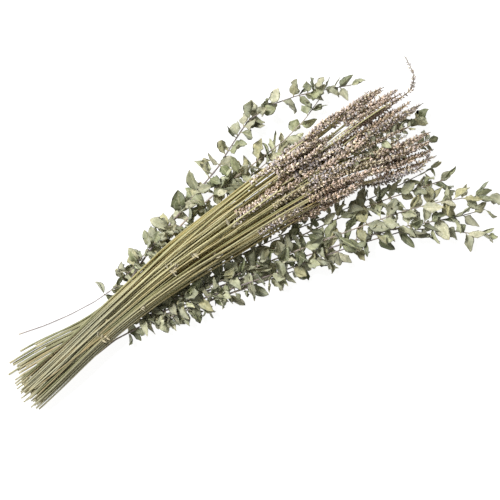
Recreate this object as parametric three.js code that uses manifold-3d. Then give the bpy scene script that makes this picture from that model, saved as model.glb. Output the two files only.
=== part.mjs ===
// A bunch of dried lavender laid over dried eucalyptus, lying on a table. Millimetres, +Z up.
// +X runs from the cut ends to the flower heads and +Y to the left of it. The origin is on the table,
// under the middle of the bunch.
//
// Each piece is one grown body: a lavender stalk with its flower spike, or a eucalyptus twig with its
// leaves. The lavender lies in two sheaves, one across the other. A rubber band holds the under sheaf
// and the eucalyptus twigs, and the over sheaf lies on the band and nearly hides it.
//
// The arrangement is drawn in the bench frame, whose x is 0 at the waist, the narrowest place, and
// whose z is 0 on the table. The last lines move it to the part's own origin.

import * as THREE from "three";
import { mergeVertices } from "three/addons/utils/BufferGeometryUtils.js";
import Module from "manifold-3d";

const wasm = await Module();
wasm.setup();

// ---------- Driving dimensions ----------

const touchGap = 0.3; // left between pieces that touch

// Lavender.
const stalkDiameter = 1.8;
const spikeDiameter = 7.2;
const earlySpike = 60; // the longest spike of the early heads
const lateSpike = 66; // the longest spike of the late heads
const laneCount = 9; // stalks side by side in a layer
const layerCount = 5;
const underLayers = 2; // the layers of the under sheaf, inside the band

// Stations along the bunch.
const buttX = -88; // the cut ends of the stalks
const cutX = -34; // the cut ends of the eucalyptus twigs
const bandX = 18; // the middle of the rubber band
const splitX = 278; // early heads end before this and late heads begin after it
const earlySpread = 38; // how far apart the early heads end

// Rubber band.
const bandWidth = 5;
const bandThickness = 0.8;

// Eucalyptus.
const twigDiameter = 2.2; // of a full twig at its cut end
const twigTipDiameter = 0.8;
const leafThickness = 0.5;
const leafSpacing = 10; // between one leaf and the next on the other side of the twig
const stalkToTwig = 0.6; // between the top twigs and the lavender that lies on them

// ---------- Small helpers ----------

// A repeatable number from 0 to 1 for a seed.
function chance(seed) {
  const wave = Math.sin(seed * 12.9898) * 43758.5453;
  return wave - Math.floor(wave);
}

// A repeatable number from -1 to 1.
const sway = (seed) => 2 * chance(seed) - 1;

// A smooth curve through rows of [x, value], held level past its ends.
function level(rows, x) {
  const last = rows.length - 1;
  if (x <= rows[0][0]) return rows[0][1];
  if (x >= rows[last][0]) return rows[last][1];
  let k = 0;
  while (x > rows[k + 1][0]) k += 1;
  const slope = (n) => {
    const before = rows[Math.max(n - 1, 0)];
    const after = rows[Math.min(n + 1, last)];
    return (after[1] - before[1]) / (after[0] - before[0]);
  };
  const [x0, y0] = rows[k];
  const [x1, y1] = rows[k + 1];
  const span = x1 - x0;
  const u = (x - x0) / span;
  return (
    y0 * (1 + 2 * u) * (1 - u) ** 2 +
    slope(k) * span * u * (1 - u) ** 2 +
    y1 * u * u * (3 - 2 * u) +
    slope(k + 1) * span * u * u * (u - 1)
  );
}

const routeThrough = (points) =>
  new THREE.CatmullRomCurve3(
    points.map((p) => new THREE.Vector3(...p)),
    false,
    "chordal",
  );

// The forward, left and up directions at a place on a route that lies more or less level.
function directionsAt(tangent) {
  const forward = tangent.clone().normalize();
  const left = new THREE.Vector3(0, 0, 1).cross(forward).normalize();
  return { forward, left, up: forward.clone().cross(left) };
}

// A closed body of round section with one ring at each point of a spine. It is turned on a lathe,
// ring number by ring number, and each ring is then carried to its point.
function bodyAlong(spine, radii, sides) {
  const profile = [new THREE.Vector2(0, 0)];
  radii.forEach((radius, n) => profile.push(new THREE.Vector2(radius, n)));
  profile.push(new THREE.Vector2(0, spine.length - 1));
  const rings = spine.map((middle, n) => {
    const before = spine[Math.max(n - 1, 0)];
    const after = spine[Math.min(n + 1, spine.length - 1)];
    return { middle, ...directionsAt(after.clone().sub(before)) };
  });
  const body = new THREE.LatheGeometry(profile, sides);
  const places = body.getAttribute("position");
  for (let n = 0; n < places.count; n += 1) {
    const { middle, left, up } = rings[places.getY(n)];
    const moved = middle
      .clone()
      .addScaledVector(up, places.getX(n))
      .addScaledVector(left, places.getZ(n));
    places.setXYZ(n, moved.x, moved.y, moved.z);
  }
  return body;
}

// A geometry as a manifold-3d solid, with its shared corners merged.
function solidOf(geometry) {
  const bare = geometry.clone();
  bare.deleteAttribute("normal");
  bare.deleteAttribute("uv");
  const merged = mergeVertices(bare, 1e-4);
  return new wasm.Manifold(
    new wasm.Mesh({
      numProp: 3,
      vertProperties: merged.getAttribute("position").array,
      triVerts: new Uint32Array(merged.index.array),
    }),
  );
}

function geometryOf(solid) {
  const mesh = solid.getMesh();
  const geometry = new THREE.BufferGeometry();
  geometry.setAttribute("position", new THREE.BufferAttribute(mesh.vertProperties, 3));
  geometry.setIndex(new THREE.BufferAttribute(mesh.triVerts, 1));
  return geometry;
}

// A named mesh whose own origin is at the piece's cut end.
function piece(name, geometry, origin, material) {
  geometry.translate(-origin.x, -origin.y, -origin.z);
  const mesh = new THREE.Mesh(geometry, material);
  mesh.name = name;
  mesh.position.copy(origin);
  return mesh;
}

const twoDigits = (n) => String(n).padStart(2, "0");

// ---------- Materials ----------

const dryLavender = new THREE.MeshStandardMaterial({ color: 0xa09a76, roughness: 0.85, metalness: 0 });
const dryEucalyptus = new THREE.MeshStandardMaterial({ color: 0x8d9678, roughness: 0.8, metalness: 0 });
const tanRubber = new THREE.MeshStandardMaterial({ color: 0xb08a5a, roughness: 0.6, metalness: 0 });

// ---------- How the lavender lies ----------

const stalkRadius = stalkDiameter / 2;
const spikeBesideStalk = (spikeDiameter + stalkDiameter) / 2;
const headsX = splitX - earlySpread - earlySpike - 12; // every spike begins past this
const tipsX = splitX + spikeDiameter + lateSpike; // the furthest tips
// Two rows of eucalyptus twigs pass through the waist, on the band, and the lavender lies on them.
const rowLow = 0.2 + bandThickness + touchGap + twigDiameter / 2;
const rowHigh = rowLow + twigDiameter + touchGap;
const waistUnderside = rowHigh + twigDiameter / 2 + stalkToTwig;

// The middle of the sheaf, seen from above.
const sheafMiddle = [
  [-90, -22.5], [-50, -16], [0, -7.2], [50, -0.5], [100, 4.2],
  [150, 5.5], [200, 6], [250, 5], [300, 3], [350, 0],
];
// The under sheaf lies across the over sheaf at the cut ends, and along with it past the waist.
const underShift = [[-90, 22.5], [-50, 14.5], [-12, 3.6], [bandX - bandWidth, 0], [350, 0]];
// From one stalk to the next in a layer, and from one layer to the next.
const lanePitch = [
  [buttX, stalkDiameter + 1.4],
  [bandX, stalkDiameter + 1.4],
  [headsX, spikeBesideStalk + 0.9],
  [splitX, 0.98 * spikeDiameter],
  [tipsX, 1.05 * spikeDiameter],
];
const layerPitch = [
  [buttX, stalkDiameter + 0.9],
  [bandX, stalkDiameter + 1.1],
  [headsX, spikeBesideStalk + 1.5],
  [tipsX, spikeBesideStalk + 1.6],
];
// The height of the lavender's underside: low at the cut ends, and carried by the twigs and leaves.
const underside = [
  [buttX, 0.6],
  [-38, waistUnderside],
  [bandX, waistUnderside],
  [60, waistUnderside + 2.6],
  [120, waistUnderside + 5],
  [200, waistUnderside + 7],
  [280, waistUnderside + 7],
  [350, waistUnderside + 5],
];
// How far the sides of the sheaf droop below its middle.
const droop = [[bandX + bandWidth, 0], [80, 2], [160, 4], [350, 6]];
// How far a stalk may wander from its lane, to the side and in height.
const wander = [[buttX, 0.5], [bandX, 0.15], [80, 0.9], [140, 0.8], [headsX, 0.3], [350, 0.3]];
const heightWander = 0.25;
// Toward the tips the heads part into two clusters, the right one further from the middle.
const parting = [[splitX - 20, 0], [splitX + 32, 12], [tipsX, 13]];
const leftShare = 0.35; // of the parting, for the left cluster

// The middle of a stalk in a lane at a station x. A lane and a layer may be fractions.
function stalkPlace(lane, layer, x, seed) {
  const across = lane - (laneCount - 1) / 2;
  const under = layer < underLayers - 0.5;
  const share = across / ((laneCount - 1) / 2);
  const drift = level(wander, x);
  return [
    x,
    level(sheafMiddle, x) +
      (under ? level(underShift, x) : 0) +
      across * level(lanePitch, x) +
      (across < -0.25 ? -1 : leftShare) * level(parting, x) +
      drift * Math.sin(x / 31 + 40 * chance(seed)),
    level(underside, x) +
      stalkRadius +
      layer * level(layerPitch, x) +
      (under ? 0 : bandThickness + touchGap) -
      level(droop, x) * share * share +
      heightWander * Math.sin(x / 37 + 40 * chance(seed + 0.5)),
  ];
}

// Late heads stand beyond splitX and early heads end before it, in a chequerboard of lanes and
// layers, so that a spike always lies between bare stalks.
function headOf(lane, layer, seed) {
  const share = lane / ((laneCount - 1) / 2) - 1;
  if ((lane + layer) % 2 === 0) {
    const start = splitX + spikeDiameter * chance(seed + 0.2);
    return { start, tip: start + lateSpike * (1 - 0.2 * share * share - 0.12 * chance(seed + 0.1)) };
  }
  const tip = splitX - 4 - earlySpread * chance(seed + 0.1);
  return { start: tip - earlySpike * (1 - 0.33 * chance(seed + 0.2)), tip };
}

// A few heads stray from the sheaf: the station where each leaves its lane, and its way from there.
const strays = [
  {
    lane: 6, layer: 4, leaves: splitX + 0.67 * lateSpike,
    way: [[16, -1, 0], [27, 1, 0], [33, 7, 0], [36, 17, -1], [37, 28, -1]],
  },
  {
    lane: 0, layer: 4, leaves: splitX,
    way: [[16, -6, -4], [30, -10, -7], [41, -13, -9], [49, -10, -10], [56, -5, -11]],
  },
  { lane: 0, layer: 2, leaves: splitX - 16, way: [[16, -9, -4], [32, -14, -7], [47, -17, -9]] },
];

// ---------- Lavender ----------

// Every stalk bends at the same stations, one of them in the band, so neighbours keep their distance.
const stationStep = 60;
const firstStation = bandX - stationStep * Math.floor((bandX - buttX - 10) / stationStep);
// A spike's outline: [share of its length, share of its radius].
const spikeOutline = [[0.1, 0.7], [0.4, 1], [0.75, 0.85], [1, 0.12]];

function lavenderStem(number, lane, layer) {
  const seed = 10 * number;
  const stray = strays.find((s) => s.lane === lane && s.layer === layer);
  const { start, tip } = headOf(lane, layer, seed);
  const butt = buttX - 3 * chance(seed + 0.3) + 5 * chance(seed + 0.4);
  const place = (x) => new THREE.Vector3(...stalkPlace(lane, layer, x, seed));
  const spine = [place(butt)];
  const neck = stray ? stray.leaves : start;
  for (let x = firstStation; x < neck - 10; x += stationStep) spine.push(place(x));
  spine.push(place(neck));
  const radii = spine.map(() => stalkRadius);
  const spikeRadius = (spikeDiameter / 2) * (0.88 + 0.12 * chance(seed + 0.6));
  const root = spine.at(-1);
  const head = stray
    ? routeThrough([[0, 0, 0], ...stray.way].map(([x, y, z]) => [root.x + x, root.y + y, root.z + z]))
    : new THREE.LineCurve3(place(start), place(tip));
  for (const [share, girth] of spikeOutline) {
    spine.push(head.getPointAt(share));
    radii.push(spikeRadius * girth);
  }
  const name = "lavender_stem_" + twoDigits(number);
  return piece(name, bodyAlong(spine, radii, 5), spine[0], dryLavender);
}

const lavender = new THREE.Group();
for (let layer = 0; layer < layerCount; layer += 1)
  for (let lane = 0; lane < laneCount; lane += 1)
    lavender.add(lavenderStem(layer * laneCount + lane + 1, lane, layer));

// ---------- Rubber band ----------

// A loop of rounded corners round the under sheaf and the twigs, with its hole touchGap clear of them.
function rubberBand() {
  const edges = [bandX - bandWidth / 2, bandX + bandWidth / 2];
  const sideOf = (lane) => edges.map((x) => stalkPlace(lane, 0, x, 0)[1]);
  const tops = edges.map((x) => stalkPlace((laneCount - 1) / 2, underLayers - 1, x, 0)[2]);
  const clear = stalkRadius + 2 * level(wander, bandX) + touchGap;
  const low = touchGap + bandThickness;
  const high = Math.max(...tops) + stalkRadius + 2 * heightWander + touchGap;
  const right = Math.min(...sideOf(0)) - clear;
  const left = Math.max(...sideOf(laneCount - 1)) + clear;
  const loop = (grow, Kind) => {
    const corner = 2.5 + grow;
    const [x0, x1, y0, y1] = [right - grow, left + grow, low - grow, high + grow];
    const outline = new Kind();
    outline.moveTo(x0 + corner, y0);
    outline.lineTo(x1 - corner, y0);
    outline.absarc(x1 - corner, y0 + corner, corner, -Math.PI / 2, 0);
    outline.lineTo(x1, y1 - corner);
    outline.absarc(x1 - corner, y1 - corner, corner, 0, Math.PI / 2);
    outline.lineTo(x0 + corner, y1);
    outline.absarc(x0 + corner, y1 - corner, corner, Math.PI / 2, Math.PI);
    outline.lineTo(x0, y0 + corner);
    outline.absarc(x0 + corner, y0 + corner, corner, Math.PI, 1.5 * Math.PI);
    return outline;
  };
  const face = loop(bandThickness, THREE.Shape);
  face.holes.push(loop(0, THREE.Path));
  const settings = { depth: bandWidth, bevelEnabled: false, curveSegments: 3 };
  const geometry = new THREE.ExtrudeGeometry(face, settings);
  geometry.rotateX(Math.PI / 2).rotateZ(Math.PI / 2); // the outline's x and y become the bench's y and z
  const middle = new THREE.Vector3(bandX, (left + right) / 2, (low + high) / 2);
  geometry.translate(bandX - bandWidth / 2, 0, 0);
  return piece("rubber_band", geometry, middle, tanRubber);
}

// ---------- Eucalyptus ----------

// The twigs pass through the band side by side, in a low and a high row by turns.
const waistTwigs = 11;
const firstStraight = 1; // the number of the first branch that passes through the band
function throughBand(n) {
  const across = (waistTwigs - 1) / 2 - (n - firstStraight);
  const room = (laneCount - 1) * level(lanePitch, bandX);
  const middle = level(sheafMiddle, bandX) + level(underShift, bandX);
  const y = middle + (across * room * 0.95) / (waistTwigs - 1);
  const z = (n - firstStraight) % 2 ? rowHigh : rowLow;
  return [[cutX + 9 * chance(n + 0.8), y, z], [bandX - 6, y, z], [bandX + 6, y, z]];
}

// Each branch: the way it fans out past the waist, the station where its leaves begin, the length of
// its longest leaves, their width as a share of that, and the girth of its twig as a share of a full
// one. A loose branch lies beside the band and gives its whole route.
const branches = [
  {
    loose: true,
    fan: [[-69, 30, 1.2], [-50, 25, 1.4], [-30, 21, 1.8], [0, 17.5, 3.5], [27, 17, 7], [50, 23, 10],
      [78, 31, 13], [104, 36, 14]],
    leavesFrom: 27, leaf: 12, width: 0.72, girth: 0.42,
  },
  {
    fan: [[46, 17, 5], [80, 31, 8], [115, 42, 11], [150, 53, 12], [176, 61, 12], [200, 74, 13],
      [222, 80, 13], [246, 78, 13], [270, 71, 12], [290, 63, 12], [309, 55, 12]],
    leavesFrom: 50, leaf: 15, width: 0.72, girth: 1,
  },
  {
    fan: [[60, 14, 5.5], [100, 30, 10], [150, 39, 14], [190, 43, 13], [225, 45, 11], [250, 50, 10],
      [266, 54, 10], [281, 61, 10]],
    leavesFrom: 50, leaf: 15, width: 0.6, girth: 0.9,
  },
  {
    fan: [[62, 10, 3], [110, 21, 4.5], [160, 31, 6], [200, 37, 7], [236, 41, 8]],
    leavesFrom: 60, leaf: 17, width: 0.62, girth: 0.9,
  },
  {
    fan: [[70, 3, 5], [140, 6, 5], [200, 7, 5], [270, 5, 4], [318, 3, 3.5], [346, -3, 3.5]],
    leavesFrom: 70, leaf: 14, width: 0.65, girth: 0.9,
  },
  {
    fan: [[80, -5, 4], [140, -8, 4.5], [200, -10, 5], [270, -14, 4], [310, -18.5, 3.5],
      [342, -25, 3.5]],
    leavesFrom: 90, leaf: 13, width: 0.62, girth: 0.9,
  },
  {
    fan: [[90, -14, 5.5], [160, -22, 6], [215, -31, 7], [252, -38, 7.5], [280, -43, 8],
      [305, -46, 8], [331, -48.5, 8]],
    leavesFrom: 120, leaf: 12, width: 0.42, girth: 0.7,
  },
  {
    fan: [[75, -17, 4], [140, -27, 6.5], [200, -35.5, 9], [250, -43, 12], [278, -49, 13],
      [305, -56, 13], [333, -63, 12]],
    leavesFrom: 60, leaf: 17, width: 0.5, girth: 0.9,
  },
  {
    fan: [[66, -20, 6.5], [130, -33, 12], [190, -45, 15], [240, -56, 16], [290, -68, 16],
      [325, -80, 15], [358, -97, 13]],
    leavesFrom: 42, leaf: 18, width: 0.55, girth: 1,
  },
  {
    fan: [[58, -21, 4], [118, -35.5, 7], [175, -49, 9], [225, -62, 10], [280, -79, 11],
      [320, -96, 11], [350, -106, 10]],
    leavesFrom: 38, leaf: 18, width: 0.62, girth: 1,
  },
  {
    fan: [[56, -25, 8], [118, -41, 13], [180, -56, 13], [240, -71, 10], [290, -88, 7],
      [314, -104, 5], [327, -118, 4], [341, -128, 4]],
    leavesFrom: 36, leaf: 16, width: 0.55, girth: 0.8,
  },
  {
    fan: [[44, -24.5, 3.5], [84, -36, 6], [120, -45, 7], [152, -53, 7], [180, -60, 7], [205, -67, 6]],
    leavesFrom: 32, leaf: 16, width: 0.55, girth: 0.8,
  },
  {
    loose: true,
    fan: [[-50, -28.5, 1.6], [-22, -24.5, 1.8], [4, -22.3, 2.4], [24, -23.6, 5], [50, -31, 8],
      [78, -36.5, 10], [106, -42, 11], [132, -49, 10]],
    leavesFrom: 26, leaf: 12, width: 0.6, girth: 0.8,
  },
];

// The fans are drawn round spikes this wide, and open further round wider ones.
const fanSpike = 7.2;
const fanOpening = [[headsX, 1], [splitX, spikeDiameter / fanSpike]];

// What is in place already is kept as balls in a grid of cells, so that a leaf can feel for room.
const cellSize = 5;
const cells = new Map();
const cellKey = (i, j, k) => i + "," + j + "," + k;
const cellOf = (value) => Math.floor(value / cellSize);

function fill(point, radius, owner) {
  const key = cellKey(cellOf(point.x), cellOf(point.y), cellOf(point.z));
  if (!cells.has(key)) cells.set(key, []);
  cells.get(key).push({ point, radius, owner });
}

function isFree(point, radius, owner) {
  const [ci, cj, ck] = [cellOf(point.x), cellOf(point.y), cellOf(point.z)];
  for (let i = ci - 1; i <= ci + 1; i += 1)
    for (let j = cj - 1; j <= cj + 1; j += 1)
      for (let k = ck - 1; k <= ck + 1; k += 1)
        for (const ball of cells.get(cellKey(i, j, k)) || [])
          if (ball.owner !== owner && ball.point.distanceTo(point) < ball.radius + radius) return false;
  return true;
}

// True where the lavender lies, with the room that a leaf keeps from it.
function inLavender(point) {
  if (point.x < buttX || point.x > tipsX + 4) return false;
  const room = 2;
  const aside = point.y - level(sheafMiddle, point.x);
  const half =
    ((laneCount - 1) / 2) * level(lanePitch, point.x) +
    level(wander, point.x) +
    (aside < 0 ? 1 : leftShare) * level(parting, point.x);
  const thick = point.x < headsX - 10 ? stalkRadius : spikeDiameter / 2;
  const share = Math.abs(aside) / half;
  if (share > 1 + (thick + room) / half) return false;
  const bottom =
    level(underside, point.x) + stalkRadius - thick - level(droop, point.x) * Math.min(1, share) ** 2;
  return point.z > bottom - room;
}

const twigStep = 26; // between the places where a twig bends
const leafAttempts = 14;
const leafBall = 1.35; // the radius of the balls that stand for a leaf

// Where the blade is felt: [share of the length, share of the half width].
const feelers = [
  [0.28, 0.8], [0.28, -0.8], [0.3, 0], [0.48, 1], [0.48, -1], [0.5, 0], [0.68, 0.9], [0.68, -0.9],
  [0.7, 0], [0.86, 0.55], [0.86, -0.55], [0.88, 0], [1, 0],
];

// One try at a leaf's place: its base, its directions and its size.
function leafTry(branch, share, side, seed, attempt) {
  const loose = attempt / leafAttempts;
  const random = (n) => sway(seed + 7.31 * attempt + n);
  const at = share * (branch.spine.length - 1);
  const k = Math.min(Math.floor(at), branch.spine.length - 2);
  const base = branch.spine[k].clone().lerp(branch.spine[k + 1], at - k);
  const { forward, left, up } = directionsAt(branch.spine[k + 1].clone().sub(branch.spine[k]));
  const tipwards = Math.max(0, (share - branch.leafShare) / (1 - branch.leafShare));
  const sweep = THREE.MathUtils.degToRad(58 + (14 + 20 * loose) * random(0.1) - 30 * tipwards ** 4);
  const lift = THREE.MathUtils.degToRad((26 + 30 * loose) * random(0.2));
  const roll = THREE.MathUtils.degToRad((38 + 30 * loose) * random(0.3));
  const along = forward
    .clone()
    .multiplyScalar(Math.cos(sweep) * Math.cos(lift))
    .addScaledVector(left, side * Math.sin(sweep) * Math.cos(lift))
    .addScaledVector(up, Math.sin(lift))
    .normalize();
  const flat = up.clone().addScaledVector(along, -up.dot(along)).normalize();
  const across = along
    .clone()
    .cross(flat)
    .multiplyScalar(Math.cos(roll))
    .addScaledVector(flat, Math.sin(roll));
  const length =
    branch.leaf * (0.86 + 0.2 * chance(seed + 0.7)) * (1 - 0.12 * loose) * (1 - 0.5 * tipwards ** 2);
  const half = (length * branch.width * (0.9 + 0.2 * chance(seed + 0.9))) / 2;
  return { base, along, across, length, half };
}

const bladePoint = (leaf, [share, aside]) =>
  leaf.base
    .clone()
    .addScaledVector(leaf.along, leaf.length * share)
    .addScaledVector(leaf.across, leaf.half * aside);

// The first try whose blade is clear of the table, the lavender, the twigs and the other leaves.
function growLeaf(branch, share, side, seed) {
  for (let attempt = 0; attempt < leafAttempts; attempt += 1) {
    const leaf = leafTry(branch, share, side, seed, attempt);
    const points = feelers.map((feeler) => bladePoint(leaf, feeler));
    const clear = points.every(
      (p) => p.z > leafBall && !inLavender(p) && isFree(p, leafBall, branch.owner),
    );
    if (clear) {
      for (const p of points) fill(p, leafBall, null);
      return leaf;
    }
  }
  return null;
}

// A leaf in the plain: a thin plate with six corners, broadest below its middle.
const leafOutline = [[0, 0], [0.36, -1], [0.76, -0.72], [1, 0], [0.76, 0.72], [0.36, 1]];

function leafSolid(leaf) {
  const outline = new THREE.Shape(
    leafOutline.map(([share, aside]) => new THREE.Vector2(leaf.length * share, leaf.half * aside)),
  );
  const plate = new THREE.ExtrudeGeometry(outline, { depth: leafThickness, bevelEnabled: false });
  plate.translate(0, 0, -leafThickness / 2);
  const face = leaf.along.clone().cross(leaf.across);
  const turned = new THREE.Matrix4().makeBasis(leaf.along, leaf.across, face);
  plate.applyMatrix4(turned.setPosition(leaf.base));
  return solidOf(plate);
}

branches.forEach((branch, n) => {
  const fan = branch.fan.map(([x, y, z]) => [x, y * level(fanOpening, x), z]);
  branch.curve = routeThrough(branch.loose ? fan : [...throughBand(n), ...fan]);
  branch.owner = n;
  branch.radius = (twigDiameter / 2) * branch.girth;
  let share = 0;
  while (branch.curve.getPointAt(share).x < branch.leavesFrom) share += 0.002;
  branch.leafShare = share;
  const length = branch.curve.getLength();
  branch.spine = branch.curve.getSpacedPoints(Math.round(length / twigStep));
  for (let along = 0; along <= length; along += 2)
    fill(branch.curve.getPointAt(along / length), branch.radius + 0.2, n);
  branch.leafCount = Math.round((length * (1 - share)) / leafSpacing);
});

function eucalyptusBranch(branch, n) {
  const taper = branch.radius - Math.min(twigTipDiameter / 2, branch.radius);
  const radii = branch.spine.map((_, k) => branch.radius - (taper * k) / (branch.spine.length - 1));
  let solid = solidOf(bodyAlong(branch.spine, radii, 5));
  for (let k = 0; k < branch.leafCount; k += 1) {
    const share = branch.leafShare + ((1 - branch.leafShare) * k) / (branch.leafCount - 1);
    const leaf = growLeaf(branch, share * 0.998, k % 2 ? 1 : -1, 100 * n + k);
    if (leaf) solid = solid.add(leafSolid(leaf));
  }
  const name = "eucalyptus_branch_" + twoDigits(n + 1);
  return piece(name, geometryOf(solid), branch.curve.getPoint(0), dryEucalyptus);
}

const eucalyptus = new THREE.Group();
branches.forEach((branch, n) => eucalyptus.add(eucalyptusBranch(branch, n)));

// ---------- The bunch, moved to its own origin ----------

const bunch = new THREE.Group();
bunch.add(lavender, eucalyptus, rubberBand());
const box = new THREE.Box3().setFromObject(bunch, true);
const middle = box.getCenter(new THREE.Vector3());
bunch.position.set(-middle.x, -middle.y, -box.min.z);

export default bunch;
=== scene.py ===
# Looks for a bunch of dried lavender laid over dried eucalyptus. Lengths are in millimetres until a
# mesh is finished, in the bench frame of the bunch: x from the waist to the heads, z up from the table.
import math
import bpy
import numpy as np
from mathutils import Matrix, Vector


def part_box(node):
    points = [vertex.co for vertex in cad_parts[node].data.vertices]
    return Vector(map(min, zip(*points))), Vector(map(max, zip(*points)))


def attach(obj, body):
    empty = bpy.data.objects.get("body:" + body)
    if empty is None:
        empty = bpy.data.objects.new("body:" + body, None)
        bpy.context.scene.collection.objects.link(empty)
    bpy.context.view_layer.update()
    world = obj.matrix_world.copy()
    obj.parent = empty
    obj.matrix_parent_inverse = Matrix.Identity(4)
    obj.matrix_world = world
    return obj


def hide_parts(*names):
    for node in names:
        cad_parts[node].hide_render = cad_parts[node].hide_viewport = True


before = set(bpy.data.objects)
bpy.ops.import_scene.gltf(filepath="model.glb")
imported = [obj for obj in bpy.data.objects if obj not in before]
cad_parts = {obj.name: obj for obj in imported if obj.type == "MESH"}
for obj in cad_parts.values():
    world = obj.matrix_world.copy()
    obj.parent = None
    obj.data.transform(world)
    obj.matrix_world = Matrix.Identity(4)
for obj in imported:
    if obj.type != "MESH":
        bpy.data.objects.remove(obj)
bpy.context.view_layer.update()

mm = 0.001


def chance(seed):
    wave = math.sin(seed * 12.9898) * 43758.5453
    return wave - math.floor(wave)


def sway(seed):
    return 2 * chance(seed) - 1


def mix(a, b, share):
    return np.asarray(a, float) * (1 - share) + np.asarray(b, float) * share


# a smooth curve through rows of (x, value), held level past its ends
def level(rows, x):
    last = len(rows) - 1
    if x <= rows[0][0]:
        return rows[0][1]
    if x >= rows[last][0]:
        return rows[last][1]
    k = 0
    while x > rows[k + 1][0]:
        k += 1

    def slope(n):
        before, after = rows[max(n - 1, 0)], rows[min(n + 1, last)]
        return (after[1] - before[1]) / (after[0] - before[0])

    (x0, y0), (x1, y1) = rows[k], rows[k + 1]
    span = x1 - x0
    u = (x - x0) / span
    return (y0 * (1 + 2 * u) * (1 - u) ** 2 + slope(k) * span * u * (1 - u) ** 2
            + y1 * u * u * (3 - 2 * u) + slope(k + 1) * span * u * u * (u - 1))


# How the lavender lies: the same lanes and layers as the solids.
lavender = {
    "stalkDiameter": 1.8,
    "spikeDiameter": 7.2,
    "earlySpike": 60,
    "lateSpike": 66,
    "laneCount": 9,
    "layerCount": 5,
    "underLayers": 2,
    "buttX": -88,
    "splitX": 278,
    "earlySpread": 38,
    "heightWander": 0.25,
    "leftShare": 0.35,
}
band = {"x": 18, "width": 5, "thickness": 0.8, "gap": 0.3}
twigs = {"diameter": 2.2, "tipDiameter": 0.8, "cutX": -34, "step": 26, "leafSpacing": 10,
         "underStalks": 0.6, "ringEvery": 6, "knot": 1.12}

stalkRadius = lavender["stalkDiameter"] / 2
halfLanes = (lavender["laneCount"] - 1) / 2
spikeBesideStalk = (lavender["spikeDiameter"] + lavender["stalkDiameter"]) / 2
headsX = lavender["splitX"] - lavender["earlySpread"] - lavender["earlySpike"] - 12
tipsX = lavender["splitX"] + lavender["spikeDiameter"] + lavender["lateSpike"]
rowLow = 0.2 + band["thickness"] + band["gap"] + twigs["diameter"] / 2
rowHigh = rowLow + twigs["diameter"] + band["gap"]
waistUnderside = rowHigh + twigs["diameter"] / 2 + twigs["underStalks"]

sheaf = {
    "middle": [(-90, -22.5), (-50, -16), (0, -7.2), (50, -0.5), (100, 4.2),
               (150, 5.5), (200, 6), (250, 5), (300, 3), (350, 0)],
    "underShift": [(-90, 22.5), (-50, 14.5), (-12, 3.6), (band["x"] - band["width"], 0), (350, 0)],
    "lanePitch": [(lavender["buttX"], lavender["stalkDiameter"] + 1.4),
                  (band["x"], lavender["stalkDiameter"] + 1.4), (headsX, spikeBesideStalk + 0.9),
                  (lavender["splitX"], 0.98 * lavender["spikeDiameter"]),
                  (tipsX, 1.05 * lavender["spikeDiameter"])],
    "layerPitch": [(lavender["buttX"], lavender["stalkDiameter"] + 0.9),
                   (band["x"], lavender["stalkDiameter"] + 1.1),
                   (headsX, spikeBesideStalk + 1.5), (tipsX, spikeBesideStalk + 1.6)],
    "underside": [(lavender["buttX"], 0.6), (-38, waistUnderside), (band["x"], waistUnderside),
                  (60, waistUnderside + 2.6), (120, waistUnderside + 5), (200, waistUnderside + 7),
                  (280, waistUnderside + 7), (350, waistUnderside + 5)],
    "droop": [(band["x"] + band["width"], 0), (80, 2), (160, 4), (350, 6)],
    "parting": [(lavender["splitX"] - 20, 0), (lavender["splitX"] + 32, 12), (tipsX, 13)],
    "wander": [(lavender["buttX"], 0.5), (band["x"], 0.15), (80, 0.9), (140, 0.8), (headsX, 0.3),
               (350, 0.3)],
}


def oneOf(choices, rng):
    return choices[int(rng.integers(0, len(choices)))]


# the middle of a stalk in a lane at x, where a lane and a layer may be fractions
def stalkPlace(lane, layer, x, seed, part=None):
    across = lane - halfLanes
    under = layer < lavender["underLayers"] - 0.5
    share = across / halfLanes
    drift = level(sheaf["wander"], x)
    y = (level(sheaf["middle"], x) + (level(sheaf["underShift"], x) if under else 0)
         + across * level(sheaf["lanePitch"], x)
         + (part if part is not None else -1 if across < -0.25 else lavender["leftShare"])
         * level(sheaf["parting"], x) + drift * math.sin(x / 31 + 40 * chance(seed)))
    z = (level(sheaf["underside"], x) + stalkRadius + layer * level(sheaf["layerPitch"], x)
         + (0 if under else band["thickness"] + band["gap"]) - level(sheaf["droop"], x) * share * share
         + lavender["heightWander"] * math.sin(x / 37 + 40 * chance(seed + 0.5)))
    return (x, y, z)


def headOf(lane, layer, seed):
    share = lane / halfLanes - 1
    if (lane + layer) % 2 == 0:
        start = lavender["splitX"] + lavender["spikeDiameter"] * chance(seed + 0.2)
        return start, start + lavender["lateSpike"] * (1 - 0.2 * share * share - 0.12 * chance(seed + 0.1))
    tip = lavender["splitX"] - 4 - lavender["earlySpread"] * chance(seed + 0.1)
    return tip - lavender["earlySpike"] * (1 - 0.33 * chance(seed + 0.2)), tip


# from the bench frame to the row frame, by the rubber band, which both of them place
def benchToRow():
    edges = [band["x"] - band["width"] / 2, band["x"] + band["width"] / 2]
    clear = stalkRadius + 2 * level(sheaf["wander"], band["x"]) + band["gap"]
    right = min(stalkPlace(0, 0, x, 0)[1] for x in edges) - clear
    left = max(stalkPlace(lavender["laneCount"] - 1, 0, x, 0)[1] for x in edges) + clear
    low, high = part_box("rubber_band")
    middle = (low + high) / (2 * mm)
    return np.array([middle.x - band["x"], middle.y - (left + right) / 2, low.z / mm - band["gap"]])


rowShift = benchToRow()
print("bench frame placed at", [round(v, 2) for v in rowShift])


def toRow(point):
    return Vector([(float(p) + s) * mm for p, s in zip(point, rowShift)])


# The camera looks straight down, with the bunch lying slantwise in its view.
camera = {"aim": (150.8, -20.6, 20), "turn": 33, "width": 450, "lens": 85, "sensor": 36}


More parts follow.
